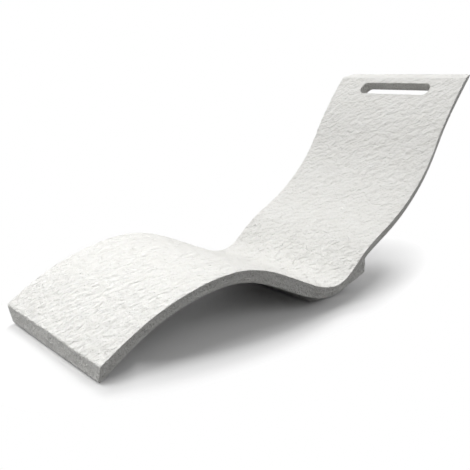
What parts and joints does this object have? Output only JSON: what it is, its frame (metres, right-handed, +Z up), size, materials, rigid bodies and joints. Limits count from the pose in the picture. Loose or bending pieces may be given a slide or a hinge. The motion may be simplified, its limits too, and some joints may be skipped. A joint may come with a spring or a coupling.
{
  "type": "sun lounger",
  "caption": "Rigid wave-shaped sun lounger in pale stone-effect laminate, with a raised back, a grip slot at the head and a block-shaped rear support.",
  "frame": {"origin": "on the floor, under the middle of the lounger's length and width", "axes": "+X from the foot end to the head, +Y across to the left of someone lying on it, +Z up"},
  "size_m": [1.7748, 0.6502, 0.83],
  "materials": {
    "stone_laminate": "matt warm white moulded laminate with a finely rippled slate texture",
    "back_laminate": "plain matt off-white laminate, lightly textured by its fibres",
    "core_foam": "closed-cell rigid foam",
    "stainless_steel": "plain stainless steel",
    "foot_rubber": "matt black rubber",
    "black_plastic": "fine satin black plastic",
    "grey_plastic": "rough-sawn grey plastic bar"
  },
  "bodies": {
    "root": {"seat_shell": "stone_laminate", "grip_sleeve": "stone_laminate", "rear_support": "stone_laminate", "underside_pan": "back_laminate", "support_base": "back_laminate", "leg_core": "core_foam", "seat_core": "core_foam", "back_core": "core_foam", "bolt_plate_1": "stainless_steel", "bolt_plate_2": "stainless_steel", "support_bolt_1": "stainless_steel", "support_bolt_2": "stainless_steel", "support_bolt_3": "stainless_steel", "support_bolt_4": "stainless_steel", "bolt_washer_1": "stainless_steel", "bolt_washer_2": "stainless_steel", "bolt_washer_3": "stainless_steel", "bolt_washer_4": "stainless_steel", "pad_screw_1": "stainless_steel", "pad_screw_2": "stainless_steel", "pad_screw_3": "stainless_steel", "pad_screw_4": "stainless_steel", "wedge_screw_1": "stainless_steel", "wedge_screw_2": "stainless_steel", "wedge_screw_3": "stainless_steel", "foot_wedge": "foot_rubber", "breather_seal": "foot_rubber", "support_pad_1": "foot_rubber", "support_pad_2": "foot_rubber", "support_pad_3": "foot_rubber", "support_pad_4": "foot_rubber", "breather_plug": "black_plastic", "foot_batten": "grey_plastic"}
  },
  "joints": []
}
